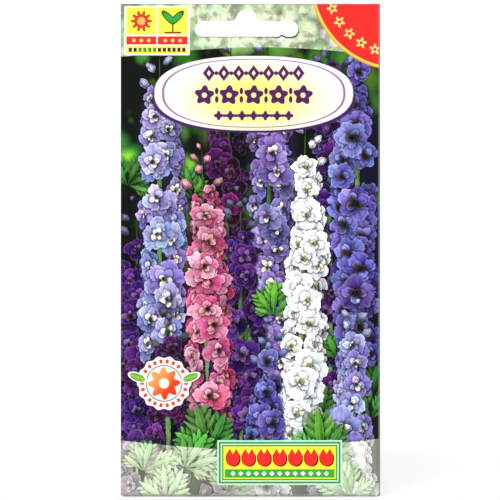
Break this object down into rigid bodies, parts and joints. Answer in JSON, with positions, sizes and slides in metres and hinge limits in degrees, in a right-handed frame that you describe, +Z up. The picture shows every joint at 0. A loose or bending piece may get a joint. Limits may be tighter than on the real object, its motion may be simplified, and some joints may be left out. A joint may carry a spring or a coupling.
{
  "type": "seed packet",
  "caption": "Flat folded paper seed packet with a printed flower front, a hang slot through its glued header, a side seam, a bottom flap and loose seeds inside.",
  "frame": {"origin": "where a display peg bears: the top of the hang slot's hump, half way through the packet's thickness", "axes": "+Z up along the packet's height, +Y to its back, +X to the right seen from the printed front, which faces -Y"},
  "size_m": [0.08, 0.0025, 0.152],
  "materials": {
    "printed_paper": "semi-gloss coated paper printed with flower spires",
    "dried_glue": "thin dried paper glue",
    "seed_coat": "dull wrinkled dark brown seed coat"
  },
  "bodies": {
    "root": {"envelope": "printed_paper", "seam_glue": "dried_glue", "bottom_flap_glue": "dried_glue", "header_glue": "dried_glue", "seed_01": "seed_coat", "seed_02": "seed_coat", "seed_03": "seed_coat", "seed_04": "seed_coat", "seed_05": "seed_coat", "seed_06": "seed_coat", "seed_07": "seed_coat", "seed_08": "seed_coat", "seed_09": "seed_coat", "seed_10": "seed_coat", "seed_11": "seed_coat", "seed_12": "seed_coat", "seed_13": "seed_coat", "seed_14": "seed_coat", "seed_15": "seed_coat", "seed_16": "seed_coat", "seed_17": "seed_coat", "seed_18": "seed_coat", "seed_19": "seed_coat", "seed_20": "seed_coat", "seed_21": "seed_coat", "seed_22": "seed_coat", "seed_23": "seed_coat", "seed_24": "seed_coat", "seed_25": "seed_coat", "seed_26": "seed_coat", "seed_27": "seed_coat", "seed_28": "seed_coat", "seed_29": "seed_coat", "seed_30": "seed_coat", "seed_31": "seed_coat", "seed_32": "seed_coat", "seed_33": "seed_coat", "seed_34": "seed_coat", "seed_35": "seed_coat", "seed_36": "seed_coat", "seed_37": "seed_coat", "seed_38": "seed_coat", "seed_39": "seed_coat", "seed_40": "seed_coat"}
  },
  "joints": []
}
